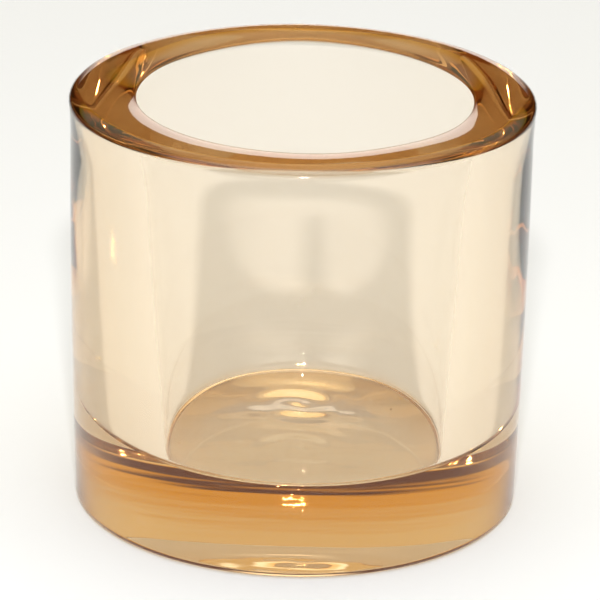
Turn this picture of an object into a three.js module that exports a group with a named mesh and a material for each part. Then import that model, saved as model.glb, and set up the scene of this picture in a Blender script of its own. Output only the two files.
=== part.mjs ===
// Tealight holder: one heavy tumbler of pressed amber glass, with a round well for a tealight.
// Millimetres, +Z up. The origin is the middle of the underside, on the surface it stands on.
// The whole holder is one casting, so it is one mesh: a half section turned about the Z axis.

import * as THREE from 'three';

// Outside: a slightly barrelled wall that eases out from the base, then flares a little at the rim
const HEIGHT = 60;
const BASE_RADIUS = 31.4;
const WALL_RADIUS = 32.25;
const RIM_RADIUS = 32.5;
const FLARE_START_HEIGHT = 53;
const BASE_EDGE_ROUND = 1.1;

// Rim: its crest lies near the outer edge, and it falls gently towards the well
const RIM_OUTER_ROUND_ACROSS = 2.6;
const RIM_OUTER_ROUND_DOWN = 1.2;
const RIM_INNER_ROUND_DOWN = 0.9;

// Well: a drafted wall and a small round into the flat floor that the tealight stands on
const MOUTH_RADIUS = 23.4;
const WELL_FOOT_RADIUS = 20.4;
const WELL_FLOOR_HEIGHT = 10.8;
const WELL_FLOOR_ROUND = 1.2;

// Fineness of the faceted surface
const SEGMENTS_AROUND = 72;
const WALL_STEPS = 6;
const FLARE_STEPS = 3;
const BASE_EDGE_STEPS = 5;
const RIM_STEPS = 7;
const FLOOR_ROUND_STEPS = 5;

const AMBER_GLASS = new THREE.MeshStandardMaterial({
  name: 'amber_glass',
  color: 0xe3b97f,
  roughness: 0.05,
  metalness: 0,
  transparent: true,
  opacity: 0.5,
});

/** Points along part of an ellipse, at equal turns from one angle to the other, in degrees. */
function ellipseArc(centreRadius, centreHeight, across, down, fromDegrees, toDegrees, steps) {
  return Array.from({ length: steps + 1 }, (_, step) => {
    const degrees = THREE.MathUtils.lerp(fromDegrees, toDegrees, step / steps);
    const angle = THREE.MathUtils.degToRad(degrees);
    return new THREE.Vector2(
      centreRadius + across * Math.cos(angle),
      centreHeight + down * Math.sin(angle),
    );
  });
}

/** The small round at the bottom edge, from the flat underside to the wall. */
function baseEdge() {
  const centreRadius = BASE_RADIUS - BASE_EDGE_ROUND;
  return ellipseArc(
    centreRadius, BASE_EDGE_ROUND, BASE_EDGE_ROUND, BASE_EDGE_ROUND, -90, 0, BASE_EDGE_STEPS,
  );
}

/** The wall from the base edge to the flare: a parabola that is upright at the flare. */
function barrelWall() {
  return Array.from({ length: WALL_STEPS }, (_, index) => {
    const part = (index + 1) / WALL_STEPS;
    const fullness = 1 - (1 - part) ** 2;
    return new THREE.Vector2(
      THREE.MathUtils.lerp(BASE_RADIUS, WALL_RADIUS, fullness),
      THREE.MathUtils.lerp(BASE_EDGE_ROUND, FLARE_START_HEIGHT, part),
    );
  });
}

/** The flare up to the rim's round: it leans out with the square of the height above its start. */
function flare() {
  const topHeight = HEIGHT - RIM_OUTER_ROUND_DOWN;
  return Array.from({ length: FLARE_STEPS - 1 }, (_, index) => {
    const part = (index + 1) / FLARE_STEPS;
    return new THREE.Vector2(
      THREE.MathUtils.lerp(WALL_RADIUS, RIM_RADIUS, part * part),
      THREE.MathUtils.lerp(FLARE_START_HEIGHT, topHeight, part),
    );
  });
}

/** Over the rim: a short outer quarter ellipse up to the crest, a long inner one down to the mouth. */
function rim() {
  const crestRadius = RIM_RADIUS - RIM_OUTER_ROUND_ACROSS;
  const outer = ellipseArc(
    crestRadius, HEIGHT - RIM_OUTER_ROUND_DOWN, RIM_OUTER_ROUND_ACROSS, RIM_OUTER_ROUND_DOWN,
    0, 90, RIM_STEPS,
  );
  const inner = ellipseArc(
    crestRadius, HEIGHT - RIM_INNER_ROUND_DOWN, crestRadius - MOUTH_RADIUS, RIM_INNER_ROUND_DOWN,
    90, 180, RIM_STEPS,
  );
  return [...outer, ...inner.slice(1)];
}

/** The round between the well's drafted wall and its flat floor, tangent to both. */
function wellFloorRound() {
  const wallHeight = HEIGHT - RIM_INNER_ROUND_DOWN - WELL_FLOOR_HEIGHT;
  const draft = Math.atan2(MOUTH_RADIUS - WELL_FOOT_RADIUS, wallHeight);
  const inset = WELL_FLOOR_ROUND * Math.tan((Math.PI / 2 - draft) / 2);
  return ellipseArc(
    WELL_FOOT_RADIUS - inset, WELL_FLOOR_HEIGHT + WELL_FLOOR_ROUND, WELL_FLOOR_ROUND,
    WELL_FLOOR_ROUND, -THREE.MathUtils.radToDeg(draft), -90, FLOOR_ROUND_STEPS,
  );
}

/** The half section, from the middle of the underside out, up, over the rim and down the well. */
function halfSection() {
  return [
    new THREE.Vector2(0, 0),
    ...baseEdge(),
    ...barrelWall(),
    ...flare(),
    ...rim(),
    ...wellFloorRound(),
    new THREE.Vector2(0, WELL_FLOOR_HEIGHT),
  ];
}

/** The holder itself, turned about its own axis and stood upright. */
function glassBody() {
  const geometry = new THREE.LatheGeometry(halfSection(), SEGMENTS_AROUND);
  geometry.rotateX(Math.PI / 2);
  const mesh = new THREE.Mesh(geometry, AMBER_GLASS);
  mesh.name = 'glass_body';
  return mesh;
}

const tealightHolder = new THREE.Group();
tealightHolder.add(glassBody());

export default tealightHolder;
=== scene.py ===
import math

import bpy
import numpy as np
from bpy.props import FloatProperty, FloatVectorProperty, IntProperty, PointerProperty
from bpy.types import Operator, Panel, PropertyGroup
from mathutils import Matrix, Vector


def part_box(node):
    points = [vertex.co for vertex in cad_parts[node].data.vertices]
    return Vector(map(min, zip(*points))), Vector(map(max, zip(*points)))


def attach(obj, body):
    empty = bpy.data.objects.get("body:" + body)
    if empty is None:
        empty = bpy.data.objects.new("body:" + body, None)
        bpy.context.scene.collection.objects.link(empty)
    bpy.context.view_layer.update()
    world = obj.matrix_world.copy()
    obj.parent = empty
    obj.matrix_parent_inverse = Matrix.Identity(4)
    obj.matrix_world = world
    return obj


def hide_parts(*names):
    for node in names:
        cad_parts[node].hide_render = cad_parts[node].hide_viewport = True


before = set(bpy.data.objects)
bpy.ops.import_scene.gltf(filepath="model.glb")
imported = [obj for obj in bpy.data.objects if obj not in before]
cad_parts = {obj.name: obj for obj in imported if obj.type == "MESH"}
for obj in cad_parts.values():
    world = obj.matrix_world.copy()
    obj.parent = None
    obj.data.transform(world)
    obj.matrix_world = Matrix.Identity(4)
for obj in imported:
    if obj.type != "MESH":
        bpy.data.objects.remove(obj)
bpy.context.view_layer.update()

bl_info = {
    "name": "Tealight Holder",
    "version": (1, 0, 0),
    "blender": (4, 5, 0),
    "location": "3D View > Sidebar > Tealight",
    "description": "A heavy tumbler of pressed amber glass that holds a tealight",
    "category": "Object",
}

GLASS_LOW, GLASS_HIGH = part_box("glass_body")
GLASS_HEIGHT = GLASS_HIGH.z - GLASS_LOW.z
GLASS_RADIUS = (GLASS_HIGH.x - GLASS_LOW.x) / 2
MM = 0.001
CARD_EDGE = math.radians(0.3)
WALL_EDGE = math.radians(0.6)
CARD_FADE = math.radians(5)
AIR_SEEN = (0.95, 0.94, 0.93)

# Where the waves of the glass fade out
FLOOR_FADE = 3 * MM
UNDERSIDE_FADE = 2 * MM
LIP_REACH = 1.8 * MM
LIP_INSET = 1.2 * MM

# Scales of the patterns, in features per metre
SMUDGE_SCALE = 45
RIPPLE_SCALE = 70
SPECK_SCALE = 55
SPECK_COLOUR = (0.35, 0.27, 0.2)
FIBRE_SCALE = 900
FIBRE_HEIGHT = 0.00003

# Camera: distance and aim height in metres, lens and sensor in millimetres, angles in degrees
CAMERA_DISTANCE = 0.661375
CAMERA_DOWN = 21.13
CAMERA_PITCH, CAMERA_YAW, CAMERA_ROLL = -0.086, 0.016, 1.228
CAMERA_AIM_HEIGHT = 0.030
CAMERA_LENS = 281.16
CAMERA_SENSOR = 36


# ---------------------------------------------------------------- properties


class TumblerShape(PropertyGroup):
    """Sizes of the turned glass body."""

    height: FloatProperty(
        name="Height", description="Underside to the crest of the rim",
        default=GLASS_HEIGHT, unit="LENGTH",
    )
    rim_radius: FloatProperty(
        name="Rim radius", description="Widest radius, at the rim",
        default=GLASS_RADIUS, unit="LENGTH",
    )
    wall_radius: FloatProperty(
        name="Wall radius", description="Radius of the wall just under the flare",
        default=0.03225, unit="LENGTH",
    )
    base_radius: FloatProperty(
        name="Base radius", description="Radius of the wall just above the bottom edge",
        default=0.0314, unit="LENGTH",
    )
    base_round: FloatProperty(
        name="Base round", description="Radius of the round on the bottom edge",
        default=0.0011, unit="LENGTH",
    )
    hollow: FloatProperty(
        name="Hollow", description="How far the middle of the underside stands clear",
        default=0.0005, unit="LENGTH",
    )
    flare_start: FloatProperty(
        name="Flare start", description="Height where the wall begins to flare to the rim",
        default=0.053, unit="LENGTH",
    )
    outer_across: FloatProperty(
        name="Outer round across", description="Width of the short round outside the crest",
        default=0.0026, unit="LENGTH",
    )
    outer_down: FloatProperty(
        name="Outer round down", description="Depth of the short round outside the crest",
        default=0.0012, unit="LENGTH",
    )
    inner_down: FloatProperty(
        name="Inner round down", description="Depth of the long round from crest to mouth",
        default=0.0009, unit="LENGTH",
    )
    mouth_radius: FloatProperty(
        name="Mouth radius", description="Radius of the well at its mouth",
        default=0.0234, unit="LENGTH",
    )
    foot_radius: FloatProperty(
        name="Foot radius", description="Radius of the well where its wall meets the floor",
        default=0.0204, unit="LENGTH",
    )
    floor_height: FloatProperty(
        name="Floor height", description="Thickness of glass under the well",
        default=0.0108, unit="LENGTH",
    )
    floor_round: FloatProperty(
        name="Floor round", description="Radius between the well's wall and its floor",
        default=0.0012, unit="LENGTH",
    )
    segments: IntProperty(
        name="Segments", description="Steps round the axis", default=300, min=24,
    )


class PressingMarks(PropertyGroup):
    """Small unevenness that pressing and fire polishing leave in the glass."""

    well_shift_mouth: FloatProperty(
        name="Mouth off centre", description="How far the mouth lies off the axis, along X",
        default=0.0003, unit="LENGTH",
    )
    well_shift_floor: FloatProperty(
        name="Well floor off centre", description="How far the floor lies off the axis, along X",
        default=0.0007, unit="LENGTH",
    )
    wall_wave: FloatProperty(
        name="Wall wave", description="Height of the slow waves on the outer wall",
        default=0.00003, unit="LENGTH",
    )
    under_wave: FloatProperty(
        name="Underside wave", description="Height of the flow lines across the underside",
        default=0.0000025, unit="LENGTH",
    )
    well_wave: FloatProperty(
        name="Well wave", description="Height of the slow waves on the well's wall",
        default=0.00004, unit="LENGTH",
    )
    rim_wave: FloatProperty(
        name="Rim wave", description="Height of the slow waves on top of the rim",
        default=0.00004, unit="LENGTH",
    )
    lip_ripple: FloatProperty(
        name="Lip ripple", description="Height of the ripple round the mouth",
        default=0.000004, unit="LENGTH",
    )
    swirl_depth: FloatProperty(
        name="Swirl depth", description="Depth of the swirl that the plunger left in the floor",
        default=0.0005, unit="LENGTH",
    )


class GlassFinish(PropertyGroup):
    """Colour and surface of the amber glass."""

    dye: FloatVectorProperty(
        name="Dye", description="Colour that light takes on inside the glass",
        default=(0.87, 0.58, 0.1), size=3, subtype="COLOR", min=0, max=1,
    )
    dye_density: FloatProperty(
        name="Dye density", description="How strongly the dye absorbs, per metre",
        default=21.5, min=0,
    )
    ior: FloatProperty(
        name="Index of refraction", description="Index of soda-lime glass",
        default=1.5, min=1,
    )
    smudge: FloatProperty(
        name="Smudge", description="Greatest roughness where the surface has been handled",
        default=0.02, min=0, max=1, subtype="FACTOR",
    )
    ripple: FloatProperty(
        name="Ripple", description="Height of the fine ripple on the surface",
        default=0.00001, unit="LENGTH",
    )


class TableLook(PropertyGroup):
    """Paper and light of the stage."""

    paper: FloatVectorProperty(
        name="Paper", description="Colour of the paper sheet",
        default=(0.96, 0.96, 0.96), size=3, subtype="COLOR", min=0, max=1,
    )
    paper_gap: FloatProperty(
        name="Paper gap", description="How far the paper lies under the glass",
        default=0.00005, unit="LENGTH",
    )
    paper_reach: FloatProperty(
        name="Paper reach", description="Half the side of the paper sheet",
        default=3.0, unit="LENGTH",
    )
    above: FloatVectorProperty(
        name="Light above", description="Soft light from the ceiling",
        default=(1.54, 1.73, 1.82), size=3, subtype="COLOR", min=0, max=10,
    )
    above_from: FloatProperty(
        name="Ceiling from", description="Height above the horizon where the ceiling begins",
        default=math.radians(50), unit="ROTATION",
    )
    above_full: FloatProperty(
        name="Ceiling full", description="Height above the horizon where the ceiling is full",
        default=math.radians(62), unit="ROTATION",
    )
    behind: FloatVectorProperty(
        name="Room behind", description="Warm dim wall behind the holder",
        default=(0.12, 0.04, 0.01), size=3, subtype="COLOR", min=0, max=10,
    )
    sides: FloatVectorProperty(
        name="Room at the sides", description="Dark room at both sides",
        default=(0.26, 0.16, 0.11), size=3, subtype="COLOR", min=0, max=10,
    )
    before: FloatVectorProperty(
        name="Room in front", description="Dim room in front of the holder",
        default=(0.26, 0.21, 0.2), size=3, subtype="COLOR", min=0, max=10,
    )
    card: FloatVectorProperty(
        name="Bright card", description="Low bright card straight behind the holder",
        default=(1.8, 1.75, 1.7), size=3, subtype="COLOR", min=0, max=10,
    )
    card_top: FloatProperty(
        name="Card top", description="Height above the horizon of the card's top edge",
        default=math.radians(13.5), unit="ROTATION",
    )
    card_half: FloatProperty(
        name="Card half width", description="How far the card reaches to each side",
        default=math.radians(9), unit="ROTATION",
    )
    wall: FloatVectorProperty(
        name="Lit wall foot", description="Warm foot of the lit wall behind the holder",
        default=(0.76, 0.42, 0.03), size=3, subtype="COLOR", min=0, max=10,
    )
    wall_foot: FloatProperty(
        name="Wall foot height", description="Height above the horizon where the lit wall begins",
        default=math.radians(20.9), unit="ROTATION",
    )
    wall_high: FloatVectorProperty(
        name="Lit wall top", description="Paler upper part of the lit wall",
        default=(0.83, 0.7, 0.42), size=3, subtype="COLOR", min=0, max=10,
    )
    wall_high_from: FloatProperty(
        name="Wall top height", description="Height above the horizon where the wall is palest",
        default=math.radians(27), unit="ROTATION",
    )
    key_power: FloatProperty(
        name="Key power", description="Power of the small key light, in watts",
        default=3.2, min=0,
    )
    key_width: FloatProperty(
        name="Key width", description="Width of the key light",
        default=0.044, unit="LENGTH",
    )
    key_depth: FloatProperty(
        name="Key depth", description="Height of the key light's face",
        default=0.018, unit="LENGTH",
    )
    key_height: FloatProperty(
        name="Key height", description="Height of the key light above the horizon",
        default=math.radians(33), unit="ROTATION",
    )
    key_distance: FloatProperty(
        name="Key distance", description="Distance of the key light from the holder",
        default=0.7, unit="LENGTH",
    )


# ---------------------------------------------------------------- glass shape


def ellipse_arc(centre, across, down, start, stop, steps):
    """Points (radius, height) on an ellipse: centre plus (across cos t, down sin t), t in degrees."""
    turn = np.radians(np.linspace(start, stop, steps + 1))
    return np.stack([centre[0] + across * np.cos(turn), centre[1] + down * np.sin(turn)], 1)


def straight(start, stop, steps):
    """Points from start to stop, evenly spaced, without the two ends."""
    part = np.linspace(0, 1, steps + 1)[1:-1, None]
    return np.asarray(start) * (1 - part) + np.asarray(stop) * part


def outer_profile(shape):
    """Half section outside, from the axis up to the crest of the rim.

    The underside rises towards the axis as hollow times one minus the square of the radius. The
    wall is a parabola, upright at the flare, and the flare adds a square of the height above it.
    """
    foot = shape.base_radius - shape.base_round
    out = np.linspace(0, foot, 58)[1:-1]
    underside = np.stack([out, shape.hollow * (1 - (out / foot) ** 2)], 1)
    edge = ellipse_arc((foot, shape.base_round), shape.base_round, shape.base_round, -90, 0, 14)

    part = np.linspace(0, 1, 57)[1:]
    grown = 1 - (1 - part) ** 2
    rise = shape.base_round + (shape.flare_start - shape.base_round) * part
    wall = np.stack([shape.base_radius + (shape.wall_radius - shape.base_radius) * grown, rise], 1)

    top = shape.height - shape.outer_down
    part = np.linspace(0, 1, 17)[1:-1]
    lean = shape.wall_radius + (shape.rim_radius - shape.wall_radius) * part**2
    flare = np.stack([lean, shape.flare_start + (top - shape.flare_start) * part], 1)

    crest = shape.rim_radius - shape.outer_across
    shoulder = ellipse_arc((crest, top), shape.outer_across, shape.outer_down, 0, 90, 24)
    return np.concatenate([underside, edge, wall, flare, shoulder])


def well_profile(shape):
    """Half section inside, from just past the crest down the well and in to the axis.

    A long quarter ellipse falls to the mouth. The drafted wall is straight, and a round that is
    tangent to both joins it to the flat floor.
    """
    crest = shape.rim_radius - shape.outer_across
    mouth = shape.height - shape.inner_down
    lip = ellipse_arc((crest, mouth), crest - shape.mouth_radius, shape.inner_down, 90, 180, 36)
    draft = math.atan2(shape.mouth_radius - shape.foot_radius, mouth - shape.floor_height)
    inset = shape.floor_round * math.tan((math.pi / 2 - draft) / 2)
    centre = (shape.foot_radius - inset, shape.floor_height + shape.floor_round)
    foot = ellipse_arc(
        centre, shape.floor_round, shape.floor_round, -math.degrees(draft), -90, 14
    )
    wall = straight(lip[-1], foot[0], 44)
    floor = straight(foot[-1], (0, shape.floor_height), 40)
    return np.concatenate([lip[1:], wall, foot, floor])


def bump_hill(x, y, middle, reach):
    """A round hill of height one: exp of minus the squared distance, each axis by its reach."""
    return np.exp(-(((x - middle[0]) / reach[0]) ** 2) - ((y - middle[1]) / reach[1]) ** 2)


def swirl(x, y):
    """Relief of the well floor in parts of its depth, from x and y in millimetres.

    A shallow dish lies off centre towards the back. A crescent wave runs along its front edge, and
    a spiral ripple, the cosine of the distance from its middle and the turn about it, fades outwards.
    """
    dish = bump_hill(x, y, (0.0, 9.5), (7.5, 5.0))
    crescent = bump_hill(x, y + 0.02 * (x + 1.0) ** 2, (-0.5, 5.2), (8.0, 1.6))
    away = np.hypot(x, (y - 8.0) * 1.4)
    spiral = np.cos(1.1 * away - np.arctan2(y - 8.0, x)) * np.exp(-((away / 7.0) ** 2))
    return 0.6 * crescent - 1.0 * dish + 0.25 * spiral


def flow_lines(x, y):
    """Relief of the underside in parts of its height, from x and y in millimetres.

    Cosines of y with lengths of 7.3, 3.7 and 2.1 mm. Slow sines of x bend each set, so that the
    lines wander across the underside as flow lines in poured glass do.
    """
    first = np.cos(2 * math.pi / 7.3 * (y + 1.2 * np.sin(0.17 * x + 0.4)))
    second = np.cos(2 * math.pi / 3.7 * (y + 0.7 * np.sin(0.29 * x - 1.1)) + 0.8)
    third = np.cos(2 * math.pi / 2.1 * (y + 0.5 * np.sin(0.41 * x + 2.0)) - 0.5)
    return first + 0.5 * second + 0.25 * third


def pressed(shape, marks, profile, outside_rows):
    """The profile turned round Z, with the marks of pressing: a grid of points, turn by row.

    Each point is (radius cos t, radius sin t, height). Slow waves are sums of cosines of whole
    numbers of turns, so they close. A ripple round the mouth is strongest along X. The well's centre
    drifts along X with depth. Flow lines are added to the underside and the swirl to the well floor.
    """
    turn = np.arange(shape.segments) * (2 * math.pi / shape.segments)
    t = turn[:, None]
    radius = np.repeat(profile[None, :, 0], shape.segments, 0)
    height = np.repeat(profile[None, :, 1], shape.segments, 0)
    inside = (np.arange(len(profile)) >= outside_rows)[None, :]
    depth = np.clip((shape.height - height) / (shape.height - shape.floor_height), 0, 1)
    climb = height / shape.height

    body = np.clip(radius / shape.mouth_radius, 0, 1) ** 4
    wave = np.cos(3 * t + 1.1 + 2.0 * climb) + 0.6 * np.cos(5 * t - 0.7 - 5.0 * climb)
    wave = wave + 0.35 * np.cos(9 * t + 2.3 + 9.0 * climb)
    standing = np.clip(climb / 0.06, 0, 1)
    radius = radius + np.where(inside, 0, marks.wall_wave * wave * standing * body)
    inner = np.cos(2 * t - 0.4 + 3.0 * depth) + 0.7 * np.cos(5 * t + 1.9 - 4.0 * depth)
    inner = inner + 0.4 * np.cos(8 * t - 1.2 + 7.0 * depth)
    radius = radius + np.where(inside, marks.well_wave * inner * body, 0)

    on_top = np.clip((climb - 0.95) / 0.03, 0, 1)
    swell = np.cos(2 * t + 0.6) * 0.5 + np.cos(5 * t - 1.3) + 0.6 * np.cos(7 * t + 0.2)
    height = height + marks.rim_wave * (swell - 1.6) * on_top
    across = radius / MM
    lip = bump_hill(radius, 0 * radius, (shape.mouth_radius + LIP_INSET, 0), (LIP_REACH, 1))
    ripple = np.cos(5 * t + 1.3 * across) + 0.6 * np.cos(9 * t - 1.9 * across + 1.0)
    height = height + marks.lip_ripple * ripple * lip * on_top * np.cos(t) ** 2

    x = radius * np.cos(t)
    y = radius * np.sin(t)
    shift = marks.well_shift_mouth + (marks.well_shift_floor - marks.well_shift_mouth) * depth
    near_well = np.clip((shape.rim_radius - radius) / (shape.rim_radius - shape.mouth_radius), 0, 1)
    x = x + np.where(inside, shift * near_well, 0)

    foot = shape.base_radius - shape.base_round
    under = (height < shape.hollow * 1.01) & ~inside & (radius < foot)
    fade = np.clip((foot - radius) / UNDERSIDE_FADE, 0, 1)
    height = height + np.where(under, marks.under_wave * flow_lines(x / MM, y / MM) * fade, 0)

    on_floor = np.where(inside, np.clip((shape.foot_radius - radius) / FLOOR_FADE, 0, 1), 0)
    height = height + marks.swirl_depth * swirl(x / MM, y / MM) * on_floor
    return np.stack([x, y, height], -1)


def skin(grid, low_middle, high_middle):
    """Vertices and faces of a closed surface: a grid of turns by rows, closed by a point at each end."""
    turns, rows = grid.shape[:2]
    vertices = np.concatenate([grid.reshape(-1, 3), [low_middle, high_middle]])
    here = np.arange(turns)[:, None] * rows + np.arange(rows - 1)[None, :]
    there = np.roll(np.arange(turns), -1)[:, None] * rows + np.arange(rows - 1)[None, :]
    quads = np.stack([here, there, there + 1, here + 1], -1).reshape(-1, 4)
    first = np.arange(turns) * rows
    following = np.roll(first, -1)
    low = np.stack([np.full(turns, turns * rows), following, first], -1)
    high = np.stack([np.full(turns, turns * rows + 1), first + rows - 1, following + rows - 1], -1)
    return vertices, quads, np.concatenate([low, high])


def mesh_from(name, vertices, quads, triangles):
    """A smooth mesh from whole arrays of points, four-sided and three-sided faces."""
    mesh = bpy.data.meshes.new(name)
    corners = np.concatenate([quads.ravel(), triangles.ravel()]).astype(np.int32)
    sizes = np.concatenate([np.full(len(quads), 4), np.full(len(triangles), 3)]).astype(np.int32)
    starts = np.concatenate([[0], np.cumsum(sizes)[:-1]]).astype(np.int32)
    mesh.vertices.add(len(vertices))
    mesh.vertices.foreach_set("co", vertices.astype(np.float32).ravel())
    mesh.loops.add(len(corners))
    mesh.loops.foreach_set("vertex_index", corners)
    mesh.polygons.add(len(sizes))
    mesh.polygons.foreach_set("loop_start", starts)
    mesh.polygons.foreach_set("loop_total", sizes)
    mesh.polygons.foreach_set("use_smooth", np.ones(len(sizes), bool))
    mesh.update(calc_edges=True)
    if mesh.validate():
        raise RuntimeError(f"the faces of {name} don't fit together")
    return mesh


def placed(name, mesh, material):
    """A new object at the origin with that mesh and material."""
    mesh.materials.append(material)
    thing = bpy.data.objects.new(name, mesh)
    bpy.context.scene.collection.objects.link(thing)
    return thing


# ---------------------------------------------------------------- materials


def new_material(name):
    """An empty node material: its tree, Principled shader and output."""
    material = bpy.data.materials.new(name)
    material.use_nodes = True
    tree = material.node_tree
    return material, tree, tree.nodes["Principled BSDF"], tree.nodes["Material Output"]


def noise(tree, coordinates, scale, detail, roughness=0.5):
    """A noise texture on those coordinates, with scale in features per metre."""
    node = tree.nodes.new("ShaderNodeTexNoise")
    node.inputs["Scale"].default_value = scale
    node.inputs["Detail"].default_value = detail
    node.inputs["Roughness"].default_value = roughness
    tree.links.new(coordinates, node.inputs["Vector"])
    return node.outputs["Fac"]


def ranged(tree, value, low, high, to_low, to_high):
    """Value taken smoothly from low..high to to_low..to_high, held at both ends."""
    node = tree.nodes.new("ShaderNodeMapRange")
    node.interpolation_type = "SMOOTHSTEP"
    tree.links.new(value, node.inputs["Value"])
    for socket, number in zip(
        ("From Min", "From Max", "To Min", "To Max"), (low, high, to_low, to_high)
    ):
        node.inputs[socket].default_value = number
    return node.outputs["Result"]


def mixed(tree, amount, first, second):
    """Colour from first to second by amount. Each colour is a socket or three numbers."""
    node = tree.nodes.new("ShaderNodeMix")
    node.data_type = "RGBA"
    tree.links.new(amount, node.inputs[0])
    for socket, colour in ((node.inputs[6], first), (node.inputs[7], second)):
        if isinstance(colour, bpy.types.NodeSocket):
            tree.links.new(colour, socket)
        else:
            socket.default_value = (*colour, 1)
    return node.outputs[2]


def computed(tree, operation, first, second=None):
    """One step of arithmetic on sockets or numbers."""
    node = tree.nodes.new("ShaderNodeMath")
    node.operation = operation
    for socket, value in zip(node.inputs, (first, second)):
        if isinstance(value, bpy.types.NodeSocket):
            tree.links.new(value, socket)
        elif value is not None:
            socket.default_value = value
    return node.outputs[0]


def bumped(tree, height, distance):
    """A normal from a height of zero to one that stands for distance metres."""
    node = tree.nodes.new("ShaderNodeBump")
    node.inputs["Distance"].default_value = distance
    node.inputs["Strength"].default_value = 1.0
    tree.links.new(height, node.inputs["Height"])
    return node.outputs["Normal"]


def amber_glass(finish):
    """Clear glass dyed amber inside, with faint handling smudges, a fine ripple and a few specks."""
    material, tree, shader, output = new_material("amber_glass")
    place = tree.nodes.new("ShaderNodeTexCoord").outputs["Object"]
    shader.inputs["Transmission Weight"].default_value = 1.0
    shader.inputs["IOR"].default_value = finish.ior

    dye = tree.nodes.new("ShaderNodeVolumeAbsorption")
    dye.inputs["Color"].default_value = (*finish.dye, 1)
    dye.inputs["Density"].default_value = finish.dye_density
    tree.links.new(dye.outputs["Volume"], output.inputs["Volume"])

    patches = ranged(tree, noise(tree, place, SMUDGE_SCALE, 4), 0.55, 0.75, 0.0, finish.smudge)
    tree.links.new(patches, shader.inputs["Roughness"])
    ripple = noise(tree, place, RIPPLE_SCALE, 2)
    tree.links.new(bumped(tree, ripple, finish.ripple), shader.inputs["Normal"])

    cells = tree.nodes.new("ShaderNodeTexVoronoi")
    cells.inputs["Scale"].default_value = SPECK_SCALE
    tree.links.new(place, cells.inputs["Vector"])
    speck = ranged(tree, cells.outputs["Distance"], 0.012, 0.02, 1.0, 0.0)
    tree.links.new(mixed(tree, speck, (1, 1, 1), SPECK_COLOUR), shader.inputs["Base Color"])
    return material


def white_paper(look):
    """Matt white paper with a faint fibre in its colour and surface."""
    material, tree, shader, _ = new_material("white_paper")
    place = tree.nodes.new("ShaderNodeTexCoord").outputs["Object"]
    shader.inputs["Roughness"].default_value = 0.9
    shader.inputs["Specular IOR Level"].default_value = 0.2
    fibre = noise(tree, place, FIBRE_SCALE, 5, 0.6)
    darker = tuple(0.985 * part for part in look.paper)
    colour = mixed(tree, fibre, darker, tuple(look.paper))
    tree.links.new(colour, shader.inputs["Base Color"])
    tree.links.new(bumped(tree, fibre, FIBRE_HEIGHT), shader.inputs["Normal"])
    return material


# ---------------------------------------------------------------- stage


def studio_air(look):
    """The room as light: a ceiling above, a warm wall behind, dim sides, and a low bright card."""
    world = bpy.data.worlds.new("studio_air")
    bpy.context.scene.world = world
    world.use_nodes = True
    tree = world.node_tree
    aim = tree.nodes.new("ShaderNodeSeparateXYZ")
    tree.links.new(tree.nodes.new("ShaderNodeTexCoord").outputs["Generated"], aim.inputs[0])
    east, north, up = aim.outputs

    room = mixed(tree, ranged(tree, north, -0.3, 0.3, 0, 1), look.before, look.behind)
    sideways = ranged(tree, computed(tree, "ABSOLUTE", east), 0.55, 0.8, 0, 1)
    room = mixed(tree, sideways, room, look.sides)
    back = ranged(tree, north, 0.0, 0.7, 0, 1)
    foot, palest = look.wall_foot, look.wall_high_from
    lit = ranged(tree, up, math.sin(foot - WALL_EDGE), math.sin(foot + WALL_EDGE), 0, 1)
    room = mixed(tree, computed(tree, "MULTIPLY", lit, back), room, look.wall)
    paler = ranged(tree, up, math.sin(foot), math.sin(palest), 0, 1)
    room = mixed(tree, computed(tree, "MULTIPLY", paler, back), room, look.wall_high)
    ceiling = ranged(tree, up, math.sin(look.above_from), math.sin(look.above_full), 0, 1)
    room = mixed(tree, ceiling, room, look.above)
    low = ranged(
        tree, up, math.sin(look.card_top - CARD_EDGE), math.sin(look.card_top + CARD_EDGE), 1, 0
    )
    aside = computed(tree, "ABSOLUTE", computed(tree, "ARCTAN2", east, north))
    width = ranged(tree, aside, look.card_half - CARD_FADE, look.card_half + CARD_FADE, 1, 0)
    room = mixed(tree, computed(tree, "MULTIPLY", low, width), room, look.card)
    seen = tree.nodes.new("ShaderNodeLightPath").outputs["Is Camera Ray"]
    room = mixed(tree, seen, room, AIR_SEEN)
    tree.links.new(room, tree.nodes["Background"].inputs["Color"])


def key_light(look):
    """A small oblong light straight in front and above, aimed at the middle of the holder."""
    lamp = bpy.data.lights.new("key_light", "AREA")
    lamp.shape = "RECTANGLE"
    lamp.size = look.key_width
    lamp.size_y = look.key_depth
    lamp.energy = look.key_power
    lamp.cycles.is_caustics_light = True
    thing = bpy.data.objects.new("key_light", lamp)
    bpy.context.scene.collection.objects.link(thing)
    middle = Vector((0, 0, GLASS_HEIGHT / 2))
    away = Vector((0, -math.cos(look.key_height), math.sin(look.key_height)))
    thing.location = middle + away * look.key_distance
    thing.rotation_euler = (-away).to_track_quat("-Z", "Y").to_euler()


def paper_sheet(look):
    """A flat square sheet in 48 by 48 faces, just under the glass."""
    side = np.linspace(-look.paper_reach, look.paper_reach, 49)
    x, y = np.meshgrid(side, side, indexing="ij")
    points = np.stack([x, y, np.full_like(x, -look.paper_gap)], -1).reshape(-1, 3)
    index = np.arange(len(side) ** 2).reshape(len(side), len(side))
    quads = np.stack([index[:-1, :-1], index[1:, :-1], index[1:, 1:], index[:-1, 1:]], -1)
    mesh = mesh_from("paper_sheet", points, quads.reshape(-1, 4), np.empty((0, 3), int))
    sheet = placed("paper_sheet", mesh, white_paper(look))
    sheet.cycles.is_caustics_receiver = True
    return sheet


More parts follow.
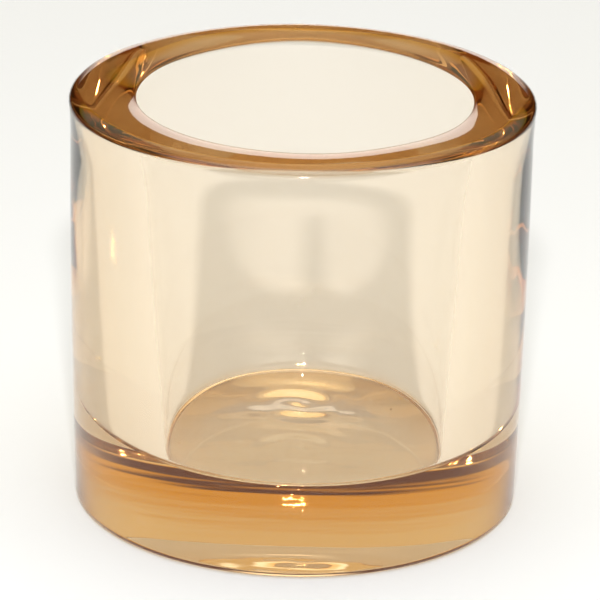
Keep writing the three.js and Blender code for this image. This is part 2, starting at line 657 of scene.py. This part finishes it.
def camera_at_the_table():
    """A long lens two thirds of a metre away, looking down on the holder, rolled a little."""
    down = math.radians(CAMERA_DOWN)
    pitch, yaw, roll = (math.radians(part) for part in (CAMERA_PITCH, CAMERA_YAW, CAMERA_ROLL))
    middle = Vector((0, 0, CAMERA_AIM_HEIGHT))
    place = Vector((0, -CAMERA_DISTANCE * math.cos(down), CAMERA_DISTANCE * math.sin(down)))

    def turned(first, second, angle):
        """Both vectors turned by angle in the plane that they span."""
        return (
            first * math.cos(angle) + second * math.sin(angle),
            second * math.cos(angle) - first * math.sin(angle),
        )

    forward = -place.normalized()
    right = forward.cross(Vector((0, 0, 1))).normalized()
    upward = right.cross(forward)
    forward, upward = turned(forward, upward, pitch)
    forward, right = turned(forward, right, yaw)
    right, upward = turned(right, upward, roll)
    lens = bpy.data.cameras.new("table_camera")
    lens.sensor_width = CAMERA_SENSOR
    lens.lens = CAMERA_LENS
    lens.clip_start = 0.01
    camera = bpy.data.objects.new("table_camera", lens)
    bpy.context.scene.collection.objects.link(camera)
    pose = Matrix((right, upward, -forward)).transposed().to_4x4()
    pose.translation = middle + place
    camera.matrix_world = pose
    bpy.context.scene.camera = camera


def light_paths():
    """Enough bounces for thick glass, light through it on the paper, and plain colours."""
    scene = bpy.context.scene
    scene.cycles.max_bounces = 24
    scene.cycles.transmission_bounces = 24
    scene.cycles.glossy_bounces = 12
    scene.cycles.caustics_refractive = True
    scene.cycles.caustics_reflective = True
    scene.cycles.use_denoising = True
    scene.cycles.sample_clamp_indirect = 0
    scene.view_settings.view_transform = "Standard"


# ---------------------------------------------------------------- operators


class TEALIGHT_OT_glass_body(Operator):
    """Presses the glass body in place of its plain solid"""

    bl_idname = "tealight.glass_body"
    bl_label = "Glass body"

    def execute(self, context):
        shape, marks = context.scene.tumbler_shape, context.scene.pressing_marks
        outside = outer_profile(shape)
        profile = np.concatenate([outside, well_profile(shape)])
        grid = pressed(shape, marks, profile, len(outside))
        low_middle = (0, 0, shape.hollow)
        high_middle = (marks.well_shift_floor, 0, grid[:, -1, 2].mean())
        mesh = mesh_from("pressed_glass", *skin(grid, low_middle, high_middle))
        glass = placed("pressed_glass", mesh, amber_glass(context.scene.glass_finish))
        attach(glass, "root")
        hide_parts("glass_body")
        glass.cycles.is_caustics_caster = True
        return {"FINISHED"}


class TEALIGHT_OT_table(Operator):
    """Lays the paper and sets the light and the camera"""

    bl_idname = "tealight.table"
    bl_label = "Table, light and camera"

    def execute(self, context):
        look = context.scene.table_look
        paper_sheet(look)
        studio_air(look)
        key_light(look)
        camera_at_the_table()
        light_paths()
        return {"FINISHED"}


class TEALIGHT_PT_holder(Panel):
    """Sizes, finish and parts of the tealight holder"""

    bl_idname = "TEALIGHT_PT_holder"
    bl_label = "Tealight Holder"
    bl_space_type = "VIEW_3D"
    bl_region_type = "UI"
    bl_category = "Tealight"

    def draw(self, context):
        for group in (
            context.scene.tumbler_shape,
            context.scene.pressing_marks,
            context.scene.glass_finish,
            context.scene.table_look,
        ):
            box = self.layout.box()
            for name in group.bl_rna.properties.keys():
                if name not in ("name", "rna_type"):
                    box.prop(group, name)
        self.layout.operator(TEALIGHT_OT_table.bl_idname)
        self.layout.operator(TEALIGHT_OT_glass_body.bl_idname)


GROUPS = {
    "tumbler_shape": TumblerShape,
    "pressing_marks": PressingMarks,
    "glass_finish": GlassFinish,
    "table_look": TableLook,
}
CLASSES = (*GROUPS.values(), TEALIGHT_OT_glass_body, TEALIGHT_OT_table, TEALIGHT_PT_holder)


def register():
    for each in CLASSES:
        bpy.utils.register_class(each)
    for name, group in GROUPS.items():
        setattr(bpy.types.Scene, name, PointerProperty(type=group))


def unregister():
    for name in GROUPS:
        delattr(bpy.types.Scene, name)
    for each in reversed(CLASSES):
        bpy.utils.unregister_class(each)


def main():
    """Registers the classes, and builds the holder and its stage."""
    register()
    bpy.ops.tealight.table()
    bpy.ops.tealight.glass_body()


if __name__ == "__main__":
    main()
